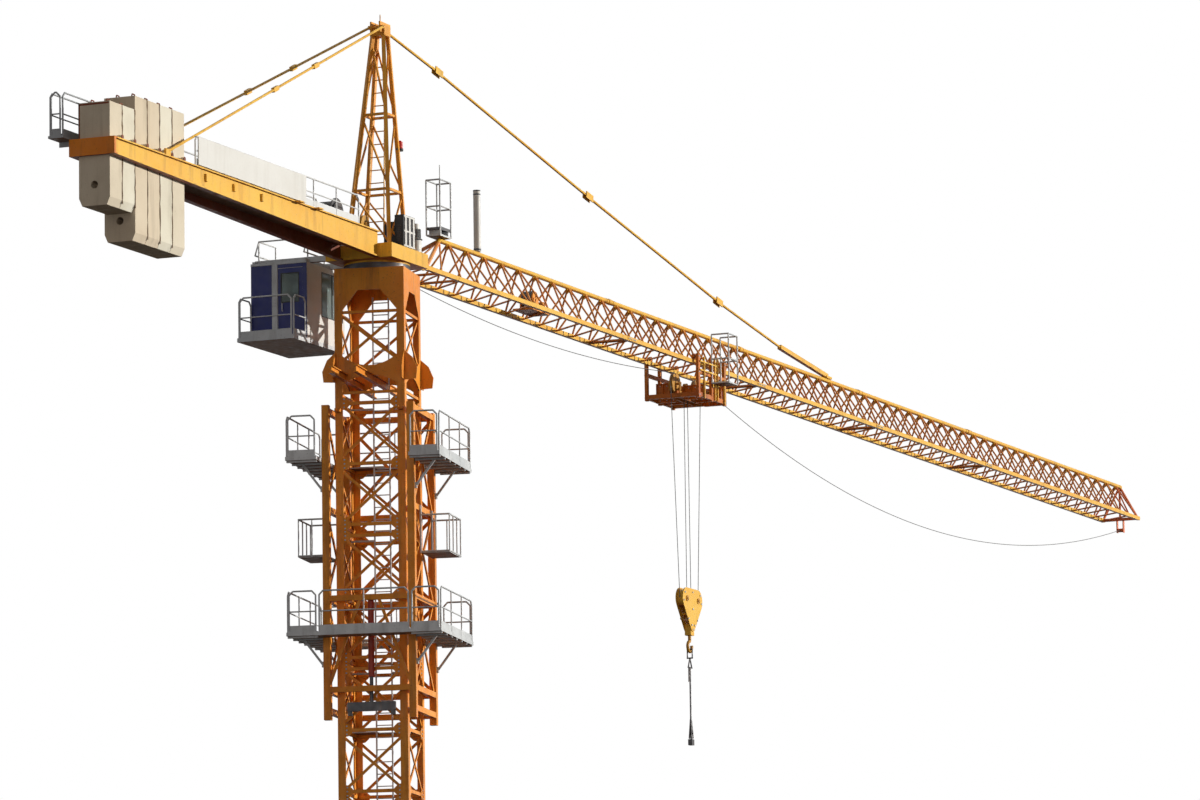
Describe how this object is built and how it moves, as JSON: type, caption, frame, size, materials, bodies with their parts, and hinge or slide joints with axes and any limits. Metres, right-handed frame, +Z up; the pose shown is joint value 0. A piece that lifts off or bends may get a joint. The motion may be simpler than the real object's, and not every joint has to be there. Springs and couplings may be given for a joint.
{
  "type": "half-scale tower crane",
  "caption": "Hammerhead tower crane on a lattice mast with climbing cage, yellow jib with trolley and hook block, counter-jib with concrete ballast; a 1:2 scale model",
  "frame": {"origin": "on the tower axis, at the underside of the base frame", "axes": "+X along the jib, +Z up, +Y to the side of the cab"},
  "size_m": [36.44, 2.6605, 18.31],
  "materials": {
    "yellow_paint": "worn satin paint",
    "galvanised": "galvanised, dull",
    "dark_steel": "greased steel",
    "wire_rope": "greased wire rope",
    "concrete": "rough cast concrete",
    "white_paint": "satin paint",
    "blue_paint": "satin paint",
    "black_paint": "matt paint",
    "red_paint": "satin paint",
    "window_glass": "clear tinted glass"
  },
  "bodies": {
    "root": {"base_feet": "yellow_paint", "mast_legs": "yellow_paint", "mast_front": "yellow_paint", "mast_right": "yellow_paint", "mast_rear": "yellow_paint", "mast_left": "yellow_paint", "mast_ladder": "galvanised", "ring_support": "yellow_paint", "slewing_ring": "dark_steel"},
    "cage": {"cage_front": "yellow_paint", "cage_right": "yellow_paint", "cage_rear": "yellow_paint", "cage_left": "yellow_paint", "cage_upper_platform": "galvanised", "cage_lower_platform": "galvanised", "cage_baskets": "galvanised", "jack_cylinder": "red_paint"},
    "jack_yoke": {"jack_yoke": "dark_steel"},
    "slewing": {"turntable": "yellow_paint", "slew_motors": "white_paint", "lead_sheave": "dark_steel", "hoist_winch": "dark_steel", "switch_cabinet": "black_paint", "cab_shell": "white_paint", "cab_door": "blue_paint", "cab_windows": "window_glass", "cab_hanger": "galvanised", "cab_balcony": "galvanised", "tower_head": "yellow_paint", "jib_section_1": "yellow_paint", "jib_section_2": "yellow_paint", "jib_section_3": "yellow_paint", "jib_section_4": "yellow_paint", "jib_section_5": "yellow_paint", "jib_access_cage": "galvanised", "signal_tube": "white_paint", "trolley_winch": "yellow_paint", "jib_pendant": "yellow_paint", "counter_pendants": "yellow_paint", "counter_beams": "yellow_paint", "counter_deck": "galvanised", "counter_railing": "galvanised", "blank_panel": "white_paint", "short_ballast": "concrete", "tall_ballast": "concrete", "inner_rope": "wire_rope", "outer_rope": "wire_rope"},
    "trolley": {"trolley_frame": "yellow_paint", "trolley_sheaves": "dark_steel", "trolley_basket": "galvanised", "hoist_falls": "wire_rope"},
    "hook_block": {"hook_block": "yellow_paint"},
    "hook": {"hook": "dark_steel", "sling": "dark_steel"}
  },
  "joints": [
    {"name": "slew", "type": "hinge", "parent": "root", "child": "slewing", "pos_m": [0, 0, 15.099], "axis": [0, 0, 1], "continuous": true},
    {"name": "cage_climb", "type": "slide", "parent": "root", "child": "cage", "axis": [0, 0, 1], "range_m": [-8.6, 0.06]},
    {"name": "jack_stroke", "type": "slide", "parent": "cage", "child": "jack_yoke", "axis": [0, 0, 1], "range_m": [-0.3, 0.28]},
    {"name": "trolley_travel", "type": "slide", "parent": "slewing", "child": "trolley", "axis": [1, 0, 0], "range_m": [-7.4, 17.3], "deforming": ["inner_rope", "outer_rope"]},
    {"name": "hoist", "type": "slide", "parent": "trolley", "child": "hook_block", "axis": [0, 0, 1], "range_m": [-9.4, 2.2], "deforming": ["hoist_falls"]},
    {"name": "hook_swivel", "type": "hinge", "parent": "hook_block", "child": "hook", "pos_m": [10.03, 0, 11.49], "axis": [0, 0, 1], "continuous": true}
  ]
}
